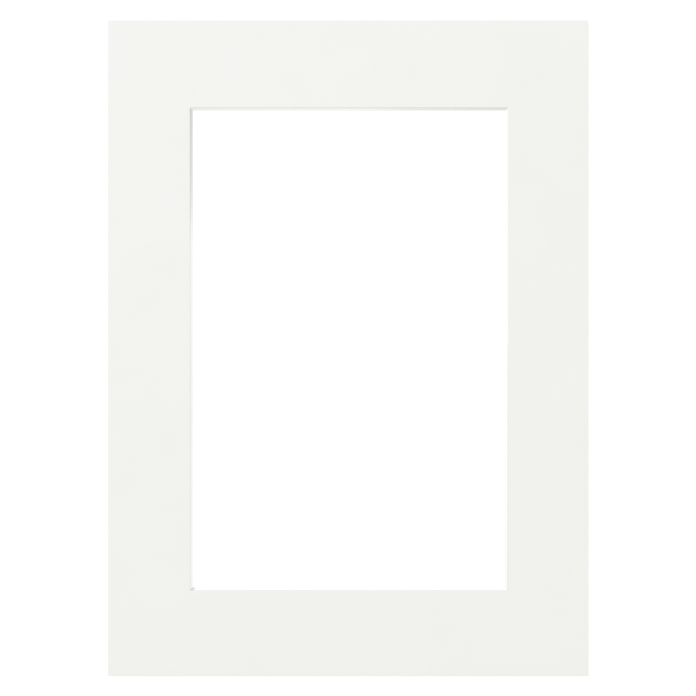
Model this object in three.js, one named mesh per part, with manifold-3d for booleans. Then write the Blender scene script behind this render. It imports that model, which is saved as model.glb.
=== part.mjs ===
// Picture mount: one sheet of white mount board with a rectangular window, cut on a slant so that
// the cut face shows all round the picture.
//
// Millimetres. The mount lies face up: +Z points out of its front face, +Y is the top of the
// picture, and the origin is the middle of its back face, which it rests on.

import * as THREE from 'three';
import { mergeVertices } from 'three/addons/utils/BufferGeometryUtils.js';
import Module from 'manifold-3d';

// The sheet
const mountWidth = 292;
const mountHeight = 398.5;
const boardThickness = 1.6;
const edgeRounding = 0.2;       // the guillotine presses the edges of both faces round
const edgeRoundingSteps = 4;

// The window, which is smallest at the back face, where it covers the edges of the picture
const sightWidth = 190;
const sightHeight = 290;
const bevelAngle = 45;          // degrees between the cut face and the back of the board
const windowRight = 0.6;        // how far it was cut to the right of the middle
const windowDown = 0.6;         // and below it

// The knife runs a little past each corner and leaves a slit there
const overcutLength = 0.8;      // past the corner, seen on the front face
const slitWidth = 0.15;

// How far the cutting shapes stand out of the faces that they cut through
const cutterOverrun = 1;

// Finish: uncoated off-white paper
const paperColour = new THREE.Color().setRGB(0.95, 0.955, 0.935, THREE.SRGBColorSpace);
const paperRoughness = 0.92;

const wasm = await Module();
wasm.setup();

// A closed geometry as a solid that can be cut
function solidFrom(geometry) {
  const bare = geometry.clone();
  bare.deleteAttribute('normal');
  bare.deleteAttribute('uv');
  const closed = mergeVertices(bare);
  return new wasm.Manifold(new wasm.Mesh({
    numProp: 3,
    vertProperties: new Float32Array(closed.attributes.position.array),
    triVerts: new Uint32Array(closed.index.array),
  }));
}

// A solid's surface as a geometry with flat faces
function geometryFrom(solid) {
  const { vertProperties, triVerts } = solid.getMesh();
  const indexed = new THREE.BufferGeometry();
  indexed.setAttribute('position', new THREE.BufferAttribute(vertProperties, 3));
  indexed.setIndex(new THREE.BufferAttribute(triVerts, 1));
  const faceted = indexed.toNonIndexed();
  faceted.computeVertexNormals();
  return faceted;
}

// The sheet as the guillotine leaves it: square corners, and edges a little rounded at both faces
function sheetSolid() {
  const rounding = Math.min(edgeRounding, 0.4 * boardThickness);
  const outline = new THREE.Shape();
  outline.moveTo(-mountWidth / 2, -mountHeight / 2);
  outline.lineTo(mountWidth / 2, -mountHeight / 2);
  outline.lineTo(mountWidth / 2, mountHeight / 2);
  outline.lineTo(-mountWidth / 2, mountHeight / 2);
  outline.closePath();
  const sheet = new THREE.ExtrudeGeometry(outline, {
    depth: boardThickness - 2 * rounding,
    bevelEnabled: true,
    bevelThickness: rounding,
    bevelSize: rounding,
    bevelOffset: -rounding,
    bevelSegments: edgeRoundingSteps,
  });
  return solidFrom(sheet.translate(0, 0, rounding));
}

// A block through the whole board, whose upright sides may slant: sidesAt says where each of them
// stands at a height above the back face, measured from the middle of the window
function slantedBlock(sidesAt) {
  const block = new THREE.BoxGeometry(1, 1, 1);
  const corners = block.attributes.position;
  for (let i = 0; i < corners.count; i += 1) {
    const height = corners.getZ(i) > 0 ? boardThickness + cutterOverrun : -cutterOverrun;
    const sides = sidesAt(height);
    const x = corners.getX(i) > 0 ? sides.right : sides.left;
    const y = corners.getY(i) > 0 ? sides.top : sides.bottom;
    corners.setXYZ(i, x, y, height);
  }
  return solidFrom(block.translate(windowRight, -windowDown, 0));
}

// Half the window's width and height at a height above the back face
function windowHalf(height) {
  const spread = height / Math.tan(THREE.MathUtils.degToRad(bevelAngle));
  return { x: sightWidth / 2 + spread, y: sightHeight / 2 + spread };
}

// The piece that drops out of the window
function falloutSolid() {
  return slantedBlock((height) => {
    const half = windowHalf(height);
    return { left: -half.x, right: half.x, bottom: -half.y, top: half.y };
  });
}

// The knife's four passes, one along each side of the window. Each lies in the plane of its cut
// face and goes past both corners.
function knifePasses() {
  const front = windowHalf(boardThickness);
  const reachX = front.x + overcutLength;
  const reachY = front.y + overcutLength;
  return [-1, 1].flatMap((side) => [
    slantedBlock((height) => {
      const cut = side * windowHalf(height).x;
      const inner = cut - side * slitWidth;
      return { left: Math.min(cut, inner), right: Math.max(cut, inner), bottom: -reachY, top: reachY };
    }),
    slantedBlock((height) => {
      const cut = side * windowHalf(height).y;
      const inner = cut - side * slitWidth;
      return { left: -reachX, right: reachX, bottom: Math.min(cut, inner), top: Math.max(cut, inner) };
    }),
  ]);
}

let board = sheetSolid().subtract(falloutSolid());
for (const pass of knifePasses()) {
  board = board.subtract(pass);
}

const mountBoard = new THREE.Mesh(
  geometryFrom(board),
  new THREE.MeshStandardMaterial({ color: paperColour, roughness: paperRoughness, metalness: 0 }),
);
mountBoard.name = 'mount_board';

const pictureMount = new THREE.Group();
pictureMount.add(mountBoard);

export default pictureMount;
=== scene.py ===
import math

import bmesh
import bpy
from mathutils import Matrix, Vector, noise


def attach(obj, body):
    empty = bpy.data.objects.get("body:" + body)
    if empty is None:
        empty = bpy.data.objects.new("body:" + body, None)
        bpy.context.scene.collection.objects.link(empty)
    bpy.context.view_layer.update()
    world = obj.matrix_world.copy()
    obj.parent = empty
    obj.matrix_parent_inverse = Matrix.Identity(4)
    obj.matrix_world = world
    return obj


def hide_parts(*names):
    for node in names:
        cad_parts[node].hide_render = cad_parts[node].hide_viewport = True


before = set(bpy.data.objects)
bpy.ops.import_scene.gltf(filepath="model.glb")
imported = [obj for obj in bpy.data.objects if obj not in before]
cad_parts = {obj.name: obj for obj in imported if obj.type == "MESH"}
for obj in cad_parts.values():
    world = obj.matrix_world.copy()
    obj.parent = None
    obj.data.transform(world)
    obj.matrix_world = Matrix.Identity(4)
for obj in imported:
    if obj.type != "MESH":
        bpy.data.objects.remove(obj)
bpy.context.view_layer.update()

# The sheet: one piece of mount board, square-cut outside by a guillotine that presses the edges of
# both faces a little round. A window is cut through it on a slant. The board is a thick white core
# with a paper glued to each side, and every cut shows all three.

MM = 0.001
sheet_width = 292 * MM
sheet_height = 398.5 * MM
thickness = 1.6 * MM
paper = 0.2 * MM
edge_rounding = 0.2 * MM

sight_width = 190 * MM
sight_height = 290 * MM
window_right = 0.6 * MM
window_down = 0.6 * MM
bevel_angle = math.radians(45)


def slant(z):
    """How far the slanted cut has moved outwards at a height above the back face."""
    return z / math.tan(bevel_angle)


# The surface is made of rings, each a rectangle at one height with the same stations round it.
station_pitch = 1.5 * MM


def side_steps(length):
    count = round(length / station_pitch)
    return [-1 + 2 * step / count for step in range(count)]


bottom_stations = [(t, -1) for t in side_steps(sheet_width)]
right_stations = [(1, t) for t in side_steps(sheet_height)]
top_stations = [(-t, 1) for t in side_steps(sheet_width)]
left_stations = [(-1, -t) for t in side_steps(sheet_height)]
stations = bottom_stations + right_stations + top_stations + left_stations


def sheet_ring(inset, z, roughness=0.0):
    """A ring round the outside, which the knife never touches and which takes no painted shade."""
    return {
        "half": (sheet_width / 2 - inset, sheet_height / 2 - inset),
        "centre": (0.0, 0.0),
        "z": z,
        "roughness": roughness,
        "knife": 0.0,
    }


def window_ring(outset, z, roughness=0.0):
    """A ring round the window, whose faces take the whole of the painted shade on the cuts."""
    return {
        "half": (sight_width / 2 + outset, sight_height / 2 + outset),
        "centre": (window_right, -window_down),
        "z": z,
        "roughness": roughness,
        "knife": 1.0,
    }


def mix(a, b, share):
    return a + (b - a) * share


def rings_between(first, last, count):
    """The rings that divide the way from one ring to the other, without the two themselves."""
    rings = []
    for step in range(1, count + 1):
        share = step / (count + 1)
        rings.append({
            "half": tuple(mix(a, b, share) for a, b in zip(first["half"], last["half"])),
            "centre": tuple(mix(a, b, share) for a, b in zip(first["centre"], last["centre"])),
            "z": mix(first["z"], last["z"], share),
            "roughness": 0.0,
            "knife": 0.0,
        })
    return rings


# The knife drags the core's fibres, so the cut core is hollow and streaked, and it turns the
# papers' edges a little away from it.
core_hollow = 0.03 * MM
core_streaks = 0.012 * MM
guillotine_streaks = 0.01 * MM
streak_length = 9 * MM
streak_width = 0.12 * MM
lip_drop = 0.03 * MM
lip_width = 0.12 * MM
lip_steps = 6
back_lip = 0.08 * MM
back_lip_profile = ((1.0, 1.0), (0.75, 0.45), (0.85, 0.12), (1.15, 0.0))

quarter_steps = 6
quarter = [math.pi / 2 * step / quarter_steps for step in range(quarter_steps + 1)]
back_edge = [
    sheet_ring(
        edge_rounding * (1 - math.sin(angle)),
        edge_rounding * (1 - math.cos(angle)),
    )
    for angle in quarter
]
front_edge = [
    sheet_ring(
        edge_rounding * (1 - math.cos(angle)),
        thickness - edge_rounding * (1 - math.sin(angle)),
    )
    for angle in quarter
]

core_rows = 9
core_shares = [row / core_rows for row in range(core_rows + 1)]
outer_core = [
    sheet_ring(0.0, mix(paper, thickness - paper, share), guillotine_streaks)
    for share in core_shares[1:-1]
]

lip = []
for step in range(lip_steps):
    share = step / (lip_steps - 1)
    lip.append(window_ring(
        slant(thickness) + lip_width * (1 - share) ** 2,
        thickness - lip_drop * share ** 2,
    ))
face_ring_count = 12
face_rings = rings_between(front_edge[-1], lip[0], face_ring_count)

bevel_core = []
for share in core_shares:
    z = mix(thickness - paper, paper, share)
    hollow = core_hollow * math.sin(math.pi * share)
    inside = 0 < share < 1
    bevel_core.append(window_ring(slant(z) + hollow, z, core_streaks if inside else 0.0))

back_cut = [window_ring(slant(back_lip) * out, back_lip * up) for out, up in back_lip_profile]
back_ring_count = 6
back_rings = rings_between(back_cut[-1], back_edge[0], back_ring_count)

# Each band of rings has one finish, given to the faces that lead up to each of its rings.
FACE_PAPER, CORE, BACK_PAPER, CUT_FACE_PAPER, CUT_BACK_PAPER = range(5)
bands = [
    (BACK_PAPER, back_edge),
    (CORE, outer_core + [front_edge[0]]),
    (FACE_PAPER, front_edge[1:] + face_rings + lip),
    (CUT_FACE_PAPER, [bevel_core[0]]),
    (CORE, bevel_core[1:]),
    (CUT_BACK_PAPER, back_cut[:-1]),
    (BACK_PAPER, back_cut[-1:] + back_rings),
]
rings = [ring for finish, band in bands for ring in band]
finishes = [finish for finish, band in bands for ring in band]


def ring_points(ring):
    """A ring's points, with its streaks as shallow ridges and hollows along the cut."""
    points = []
    for u, v in stations:
        x = ring["centre"][0] + ring["half"][0] * u
        y = ring["centre"][1] + ring["half"][1] * v
        along = (x + y) / streak_length
        streak = ring["roughness"] * noise.noise(Vector((along, x - y, ring["z"] / streak_width)))
        if abs(u) == 1:
            x += u * streak
        if abs(v) == 1:
            y += v * streak
        points.append((x, y, ring["z"]))
    return points


# Painted shade on the window's cuts. Every cut's stations start at one corner, and the cut is
# darkest there, most of all on the left; the shade holds for a stretch and then ends quickly. The
# top and left cuts, which face away from the lamp, are shaded all along as well.
shade_fade = 0.12


def cut_shades(side_stations, at_start, start_share, along):
    """How much painted shade a cut takes at each of its stations and at the next, from 0 to 1."""
    shades = []
    for step in range(len(side_stations) + 1):
        travelled = step / len(side_stations)
        start_left = max(0.0, 1 - travelled / start_share)
        shades.append(max(along, at_start * start_left ** shade_fade))
    return list(zip(shades[:-1], shades[1:]))


station_shades = cut_shades(bottom_stations, at_start=0.9, start_share=0.015, along=0.0)
station_shades += cut_shades(right_stations, at_start=0.64, start_share=0.51, along=0.0)
station_shades += cut_shades(top_stations, at_start=0.705, start_share=0.6, along=0.5)
station_shades += cut_shades(left_stations, at_start=0.785, start_share=0.275, along=0.2)

vertices = [point for ring in rings for point in ring_points(ring)]
faces = []
face_finishes = []
corner_shades = []
round_the_ring = len(stations)
for row in range(len(rings)):
    next_row = (row + 1) % len(rings)
    for station in range(round_the_ring):
        next_station = (station + 1) % round_the_ring
        faces.append((
            row * round_the_ring + station,
            row * round_the_ring + next_station,
            next_row * round_the_ring + next_station,
            next_row * round_the_ring + station,
        ))
        face_finishes.append(finishes[next_row])
        here, there = station_shades[station]
        knife = rings[next_row]["knife"]
        corner_shades += [knife * here, knife * there, knife * there, knife * here]

sheet_mesh = bpy.data.meshes.new("bevel_cut_sheet")
sheet_mesh.from_pydata(vertices, [], faces)
# The painted shade is kept on the mesh, for the cut materials to darken by.
shade_layer = sheet_mesh.attributes.new("knife_bruise", "FLOAT", "CORNER")
shade_layer.data.foreach_set("value", corner_shades)
sheet = bpy.data.objects.new("bevel_cut_sheet", sheet_mesh)
bpy.context.collection.objects.link(sheet)

# The knife's overcuts: at each corner of the window both passes of the knife run a little too far
# and leave a slit in the board, widest at the corner and closing to nothing. The slit lies on the
# window's side of the cut, all but a little of its width.

overcut_length = 0.8 * MM
slit_width = 0.09 * MM
slit_end_width = 0.01 * MM
slit_sides = (-0.8, 0.2)
knife_start = 0.15 * MM
knife_overrun = 0.3 * MM
# The two long sides of a slit are twisted a little, so each of them is two flat triangles.
box_faces = [(0, 1, 3, 2), (4, 6, 7, 5), (0, 4, 5, 1), (2, 3, 7, 6)]
box_faces += [(0, 2, 6), (0, 6, 4), (1, 5, 7), (1, 7, 3)]


def overcut_points(side_x, side_y, runs_up):
    """The corners of one slit: it runs up or down from the window's corner, or out sideways."""
    cut_half, end_half = sight_width / 2, sight_height / 2
    if not runs_up:
        cut_half, end_half = end_half, cut_half
    reach = end_half + slant(thickness) + overcut_length
    points = []
    for z in (-knife_overrun, thickness + knife_overrun):
        for end, width in ((end_half + slant(z) - knife_start, slit_width), (reach, slit_end_width)):
            for side in slit_sides:
                cut = cut_half + slant(z) + side * width
                x, y = (cut, end) if runs_up else (end, cut)
                points.append((window_right + side_x * x, -window_down + side_y * y, z))
    return points


def overcuts(name, runs_up):
    """The four slits that run one way, as one closed mesh to cut with."""
    slit_vertices = []
    slit_faces = []
    for side_x in (-1, 1):
        for side_y in (-1, 1):
            first = len(slit_vertices)
            slit_vertices += overcut_points(side_x, side_y, runs_up)
            mirrored = (side_x * side_y > 0) == runs_up
            for corners in box_faces:
                ordered = corners[::-1] if mirrored else corners
                slit_faces.append([first + corner for corner in ordered])
    mesh = bpy.data.meshes.new(name)
    mesh.from_pydata(slit_vertices, [], slit_faces)
    slits = bpy.data.objects.new(name, mesh)
    bpy.context.collection.objects.link(slits)
    return slits


slit_sets = [overcuts("slits_sideways", False), overcuts("slits_up_and_down", True)]

# Papers and core: the face paper is uncoated and off-white with a fine tooth, the core is whiter
# pulp in three plies with glue between them, and the back paper is plainer and greyer. They share
# one fibre texture.


def add_node(tree, kind, **settings):
    node = tree.nodes.new(kind)
    for name, value in settings.items():
        if name in node.inputs:
            node.inputs[name].default_value = value
        else:
            setattr(node, name, value)
    return node


# The clouds are where the pulp lay thicker. The tooth is a felt of short fibres, with longer strands
# over it: thin ridges that follow the lines where a noise crosses its middle.
cloud_detail = 5.0
cloud_roughness = 0.6
felt_detail = 3.0
felt_roughness = 0.55
felt_curl = 0.6
strand_detail = 1.0
strand_roughness = 0.4
strand_curl = 2.5
strand_closeness = 2.3
strand_width = 0.12
strand_height = 0.35
noise_middle = 0.5


def fibre_group():
    """Soft clouds in the sheet, and the felted tooth of its surface, over a given position."""
    tree = bpy.data.node_groups.new("paper_fibres", "ShaderNodeTree")
    face = tree.interface
    face.new_socket("Position", in_out="INPUT", socket_type="NodeSocketVector")
    face.new_socket("Clouds per metre", in_out="INPUT", socket_type="NodeSocketFloat")
    face.new_socket("Fibres per metre", in_out="INPUT", socket_type="NodeSocketFloat")
    face.new_socket("Clouds", in_out="OUTPUT", socket_type="NodeSocketFloat")
    face.new_socket("Tooth", in_out="OUTPUT", socket_type="NodeSocketFloat")
    given = add_node(tree, "NodeGroupInput")
    made = add_node(tree, "NodeGroupOutput")
    clouds = add_node(tree, "ShaderNodeTexNoise", Detail=cloud_detail, Roughness=cloud_roughness)
    felt = add_node(tree, "ShaderNodeTexNoise", Detail=felt_detail, Roughness=felt_roughness)
    felt.inputs["Distortion"].default_value = felt_curl
    strands = add_node(tree, "ShaderNodeTexNoise", Detail=strand_detail, Roughness=strand_roughness)
    strands.inputs["Distortion"].default_value = strand_curl
    closer = add_node(tree, "ShaderNodeMath", operation="MULTIPLY")
    closer.inputs[1].default_value = strand_closeness
    centred = add_node(tree, "ShaderNodeMath", operation="SUBTRACT")
    centred.inputs[1].default_value = noise_middle
    folded = add_node(tree, "ShaderNodeMath", operation="ABSOLUTE")
    ridges = add_node(tree, "ShaderNodeMapRange")
    ridges.inputs["From Max"].default_value = strand_width
    ridges.inputs["To Min"].default_value = 1.0
    ridges.inputs["To Max"].default_value = 0.0
    tooth = add_node(tree, "ShaderNodeMath", operation="MULTIPLY_ADD")
    tooth.inputs[1].default_value = strand_height
    link = tree.links.new
    for texture in (clouds, felt, strands):
        link(given.outputs["Position"], texture.inputs["Vector"])
    link(given.outputs["Clouds per metre"], clouds.inputs["Scale"])
    link(given.outputs["Fibres per metre"], felt.inputs["Scale"])
    link(given.outputs["Fibres per metre"], closer.inputs[0])
    link(closer.outputs[0], strands.inputs["Scale"])
    link(strands.outputs["Fac"], centred.inputs[0])
    link(centred.outputs[0], folded.inputs[0])
    link(folded.outputs[0], ridges.inputs["Value"])
    link(ridges.outputs["Result"], tooth.inputs[0])
    link(felt.outputs["Fac"], tooth.inputs[2])
    link(clouds.outputs["Fac"], made.inputs["Clouds"])
    link(tooth.outputs[0], made.inputs["Tooth"])
    return tree


fibres = fibre_group()

cloud_tones_from = 0.3
cloud_tones_to = 0.7
smoothest = 0.84
roughest = 0.97
sheen = 0.25


def stock(name, light, dark, clouds_per_metre, fibres_per_metre, tooth_depth, stretch=(1, 1, 1)):
    """A paper or pulp: two near tones in soft clouds, matt, with its tooth as a bump."""
    material = bpy.data.materials.new(name)
    material.use_nodes = True
    tree = material.node_tree
    shader = tree.nodes["Principled BSDF"]
    shader.inputs["Specular IOR Level"].default_value = sheen
    place = add_node(tree, "ShaderNodeTexCoord")
    stretched = add_node(tree, "ShaderNodeMapping")
    stretched.inputs["Scale"].default_value = stretch
    texture = add_node(tree, "ShaderNodeGroup", node_tree=fibres)
    texture.inputs["Clouds per metre"].default_value = clouds_per_metre
    texture.inputs["Fibres per metre"].default_value = fibres_per_metre
    tones = add_node(tree, "ShaderNodeValToRGB")
    tones.color_ramp.elements[0].position = cloud_tones_from
    tones.color_ramp.elements[0].color = (*dark, 1.0)
    tones.color_ramp.elements[1].position = cloud_tones_to
    tones.color_ramp.elements[1].color = (*light, 1.0)
    matt = add_node(tree, "ShaderNodeMapRange")
    matt.inputs["To Min"].default_value = smoothest
    matt.inputs["To Max"].default_value = roughest
    bump = add_node(tree, "ShaderNodeBump", Strength=1.0, Distance=tooth_depth)
    link = tree.links.new
    link(place.outputs["Object"], stretched.inputs["Vector"])
    link(stretched.outputs["Vector"], texture.inputs["Position"])
    link(texture.outputs["Clouds"], tones.inputs["Fac"])
    link(tones.outputs["Color"], shader.inputs["Base Color"])
    link(texture.outputs["Tooth"], matt.inputs["Value"])
    link(matt.outputs["Result"], shader.inputs["Roughness"])
    link(texture.outputs["Tooth"], bump.inputs["Height"])
    link(bump.outputs["Normal"], shader.inputs["Normal"])
    return material


def recolour(material, colour_in, colour_out):
    """Leads a material's colour through other nodes on its way to the shader."""
    tree = material.node_tree
    base_colour = tree.nodes["Principled BSDF"].inputs["Base Color"]
    tree.links.new(base_colour.links[0].from_socket, colour_in)
    tree.links.new(colour_out, base_colour)


def glue_lines(material, tone, ply, line_width, strength):
    """Fine lines of glue between the papers and the plies, at their heights in the board."""
    tree = material.node_tree
    place = add_node(tree, "ShaderNodeTexCoord")
    height = add_node(tree, "ShaderNodeSeparateXYZ")
    above_paper = add_node(tree, "ShaderNodeMath", operation="SUBTRACT")
    above_paper.inputs[1].default_value = paper
    from_line = add_node(tree, "ShaderNodeMath", operation="PINGPONG")
    from_line.inputs[1].default_value = ply / 2
    line = add_node(tree, "ShaderNodeMapRange")
    line.inputs["From Max"].default_value = line_width / 2
    line.inputs["To Min"].default_value = strength
    line.inputs["To Max"].default_value = 0.0
    glued = add_node(tree, "ShaderNodeMix", data_type="RGBA")
    glued.inputs["B"].default_value = (*tone, 1.0)
    tree.links.new(place.outputs["Object"], height.inputs["Vector"])
    tree.links.new(height.outputs["Z"], above_paper.inputs[0])
    tree.links.new(above_paper.outputs[0], from_line.inputs[0])
    tree.links.new(from_line.outputs[0], line.inputs["Value"])
    tree.links.new(line.outputs["Result"], glued.inputs["Factor"])
    recolour(material, glued.inputs["A"], glued.outputs["Result"])


def shade_group():
    """A cut material's colour, taken to a darker tone as painted shade."""
    tree = bpy.data.node_groups.new("knife_bruise", "ShaderNodeTree")
    face = tree.interface
    face.new_socket("Colour", in_out="INPUT", socket_type="NodeSocketColor")
    face.new_socket("Shade colour", in_out="INPUT", socket_type="NodeSocketColor")
    face.new_socket("Shade", in_out="INPUT", socket_type="NodeSocketFloat")
    face.new_socket("Seen from", in_out="INPUT", socket_type="NodeSocketFloat")
    face.new_socket("Colour", in_out="OUTPUT", socket_type="NodeSocketColor")
    given = add_node(tree, "NodeGroupInput")
    made = add_node(tree, "NodeGroupOutput")
    depth = add_node(tree, "ShaderNodeMapRange")
    shaded = add_node(tree, "ShaderNodeMix", data_type="RGBA")
    link = tree.links.new
    link(given.outputs["Shade"], depth.inputs["Value"])
    link(given.outputs["Seen from"], depth.inputs["From Min"])
    link(depth.outputs["Result"], shaded.inputs["Factor"])
    link(given.outputs["Colour"], shaded.inputs["A"])
    link(given.outputs["Shade colour"], shaded.inputs["B"])
    link(shaded.outputs["Result"], made.inputs["Colour"])
    return tree


cut_shading = shade_group()


def paint_shade(material, tone, seen_from=0.0):
    """Paints shade on a cut material: takes it to a tone wherever the painted shade is over
    seen_from.
    """
    tree = material.node_tree
    layer = add_node(tree, "ShaderNodeAttribute", attribute_name="knife_bruise")
    shaded = add_node(tree, "ShaderNodeGroup", node_tree=cut_shading)
    shaded.inputs["Shade colour"].default_value = (*tone, 1.0)
    shaded.inputs["Seen from"].default_value = seen_from
    tree.links.new(layer.outputs["Fac"], shaded.inputs["Shade"])
    recolour(material, shaded.inputs["Colour"], shaded.outputs["Colour"])


face_paper = stock(
    "off_white_face_paper",
    light=(0.849, 0.854, 0.832),
    dark=(0.837, 0.842, 0.813),
    clouds_per_metre=22,
    fibres_per_metre=1900,
    tooth_depth=0.012 * MM,
)
core = stock(
    "white_pulp_core",
    light=(0.975, 0.975, 0.965),
    dark=(0.915, 0.915, 0.905),
    clouds_per_metre=10,
    fibres_per_metre=500,
    tooth_depth=0.02 * MM,
    stretch=(1, 1, 14),
)
core_plies = 3
glue_lines(
    core,
    tone=(0.50, 0.49, 0.45),
    ply=(thickness - 2 * paper) / core_plies,
    line_width=0.04 * MM,
    strength=0.6,
)
# Painted shade on the cut core, only where the shade on the cuts is strongest, near their start
# corners.
paint_shade(core, tone=(0.48, 0.48, 0.46), seen_from=0.6)
back_paper = stock(
    "plain_back_paper",
    light=(0.735, 0.728, 0.695),
    dark=(0.70, 0.692, 0.655),
    clouds_per_metre=35,
    fibres_per_metre=1400,
    tooth_depth=0.008 * MM,
)
cut_face_paper = stock(
    "cut_face_paper",
    light=(0.86, 0.86, 0.84),
    dark=(0.66, 0.66, 0.64),
    clouds_per_metre=14,
    fibres_per_metre=2500,
    tooth_depth=0.02 * MM,
)
# Painted shade on the face paper's cut edge: all along the top and left cuts, and near each cut's
# start.
paint_shade(cut_face_paper, tone=(0.30, 0.30, 0.29))
cut_back_paper = stock(
    "cut_back_paper",
    light=(0.93, 0.93, 0.92),
    dark=(0.84, 0.84, 0.82),
    clouds_per_metre=14,
    fibres_per_metre=2500,
    tooth_depth=0.02 * MM,
)
# Painted shade on the back paper's cut edge, which also stands for the table's shadow just inside
# the window at the top and left.
paint_shade(cut_back_paper, tone=(0.48, 0.48, 0.46))

for cut_or_sheet in (sheet, *slit_sets):
    for material in (face_paper, core, back_paper, cut_face_paper, cut_back_paper):
        cut_or_sheet.data.materials.append(material)
for polygon, finish in zip(sheet_mesh.polygons, face_finishes):
    polygon.material_index = finish

# The slits are cut through the finished sheet, so that its mesh is the shape itself.
for slits in slit_sets:
    for polygon in slits.data.polygons:
        polygon.material_index = CORE
    cut = sheet.modifiers.new(slits.name, "BOOLEAN")
    cut.operation = "DIFFERENCE"
    cut.solver = "EXACT"
    cut.object = slits
cut_sheet = sheet.evaluated_get(bpy.context.evaluated_depsgraph_get())
sheet.data = bpy.data.meshes.new_from_object(cut_sheet)
sheet.data.name = "bevel_cut_sheet"
sheet.modifiers.clear()
for slits in slit_sets:
    bpy.data.objects.remove(slits)

# Where a slit crosses the sheet's own lines, some points of the cut lie almost on each other, and
# are welded.
weld_distance = 0.0001 * MM
welded = bmesh.new()
welded.from_mesh(sheet.data)
bmesh.ops.remove_doubles(welded, verts=welded.verts, dist=weld_distance)
welded.to_mesh(sheet.data)
welded.free()

crease_angle = math.radians(25)
sheet.data.shade_smooth()
sheet.data.set_sharp_from_angle(angle=crease_angle)

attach(sheet, "root")
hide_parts("mount_board")

# The shooting table: a plain white sheet, lit a little from inside so that it stays white right up
# to the mount's edges.

table_half = 4.0
table_tone = 0.93
table_roughness = 0.9
table_glow = 0.15
table_mesh = bpy.data.meshes.new("table_top")
table_mesh.from_pydata(
    [(x * table_half, y * table_half, 0.0) for x, y in ((-1, -1), (1, -1), (1, 1), (-1, 1))],
    [],
    [(0, 1, 2, 3)],
)
table_top = bpy.data.objects.new("table_top", table_mesh)
bpy.context.collection.objects.link(table_top)

table_white = bpy.data.materials.new("table_white")
table_white.use_nodes = True
table_shader = table_white.node_tree.nodes["Principled BSDF"]
table_shader.inputs["Base Color"].default_value = (table_tone, table_tone, table_tone, 1.0)
table_shader.inputs["Roughness"].default_value = table_roughness
table_shader.inputs["Emission Color"].default_value = (1.0, 1.0, 1.0, 1.0)
table_shader.inputs["Emission Strength"].default_value = table_glow
table_mesh.materials.append(table_white)

# Light: an even white surround that looks as white as the table, one soft lamp low at the top left
# that shades the bevels at the top and left and lights those at the bottom and right, and a cream
# card opposite it.

world = bpy.data.worlds.new("white_surround")
bpy.context.scene.world = world
world.use_nodes = True
surround = world.node_tree.nodes["Background"]
surround.inputs["Color"].default_value = (1.0, 1.0, 1.0, 1.0)
surround_light = 0.88
surround_seen = 1.05
seen = add_node(world.node_tree, "ShaderNodeLightPath")
strength = add_node(world.node_tree, "ShaderNodeMapRange")
strength.inputs["To Min"].default_value = surround_light
strength.inputs["To Max"].default_value = surround_seen
world.node_tree.links.new(seen.outputs["Is Camera Ray"], strength.inputs["Value"])
world.node_tree.links.new(strength.outputs["Result"], surround.inputs["Strength"])


def soft_light(name, size, energy, colour, location):
    light = bpy.data.lights.new(name, "AREA")
    light.shape = "SQUARE"
    light.size = size
    light.energy = energy
    light.color = colour
    holder = bpy.data.objects.new(name, light)
    holder.location = location
    holder.rotation_mode = "QUATERNION"
    holder.rotation_quaternion = (-Vector(location)).to_track_quat("-Z", "Y")
    bpy.context.collection.objects.link(holder)


soft_light("soft_lamp", size=1.0, energy=32.0, colour=(0.92, 0.93, 1.0), location=(-1.7, 2.1, 2.1))
soft_light("cream_card", size=0.8, energy=2.8, colour=(1.0, 0.99, 0.15), location=(1.6, -1.6, 1.4))

bpy.context.scene.view_settings.view_transform = "Standard"

# Camera: straight above the mount, with the top of the picture up, and far enough off that the
# window's four cut faces look nearly the same width.

view_width = 422.8 * MM
lens = 120.0
sensor = 36.0
camera_data = bpy.data.cameras.new("camera")
camera_data.lens = lens
camera_data.sensor_width = sensor
camera = bpy.data.objects.new("camera", camera_data)
camera.location = (0.0, 0.0, thickness + view_width * lens / sensor)
bpy.context.collection.objects.link(camera)
bpy.context.scene.camera = camera
